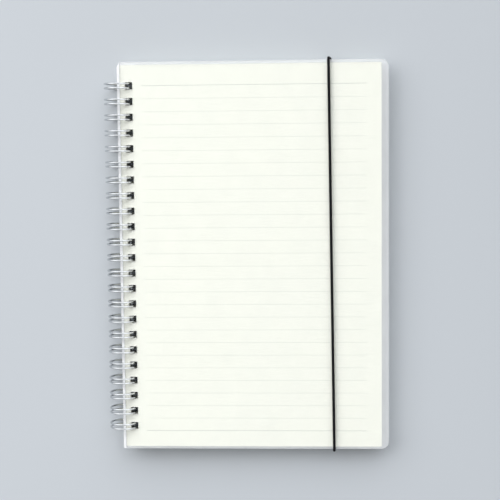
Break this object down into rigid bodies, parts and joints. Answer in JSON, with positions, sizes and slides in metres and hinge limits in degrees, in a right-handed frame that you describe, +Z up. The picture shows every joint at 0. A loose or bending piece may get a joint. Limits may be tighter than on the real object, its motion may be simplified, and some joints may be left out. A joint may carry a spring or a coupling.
{
  "type": "twin-loop wire notebook",
  "caption": "Closed A5 notebook with frosted plastic covers, ruled pages, a twin-loop wire spine and a black elastic band that holds it shut.",
  "frame": {"origin": "on the table, under the middle of the notebook's outline", "axes": "+X from the wire spine to the fore edge, +Y along the spine to the head of the pages, +Z up out of the front cover"},
  "size_m": [0.1538, 0.215, 0.0155],
  "materials": {
    "cover": "frosted translucent polypropylene sheet",
    "pages": "uncoated cream writing paper with fine grey rules",
    "wire": "bright silver coated steel wire",
    "elastic": "braided black cover over a rubber core"
  },
  "bodies": {
    "back": {"back_cover": "cover", "wire_binding": "wire", "elastic_band": "elastic"},
    "pages": {"page_block": "pages"},
    "front": {"front_cover": "cover"}
  },
  "joints": [
    {"name": "back_cover_hinge", "type": "hinge", "parent": "back", "child": "pages", "pos_m": [-0.06916, 0, 0.00775], "axis": [0, -1, 0], "range_deg": [0, 180], "deforming": ["elastic_band"]},
    {"name": "front_cover_hinge", "type": "hinge", "parent": "pages", "child": "front", "pos_m": [-0.06916, 0, 0.00775], "axis": [0, -1, 0], "range_deg": [0, 180], "deforming": ["elastic_band"]}
  ]
}
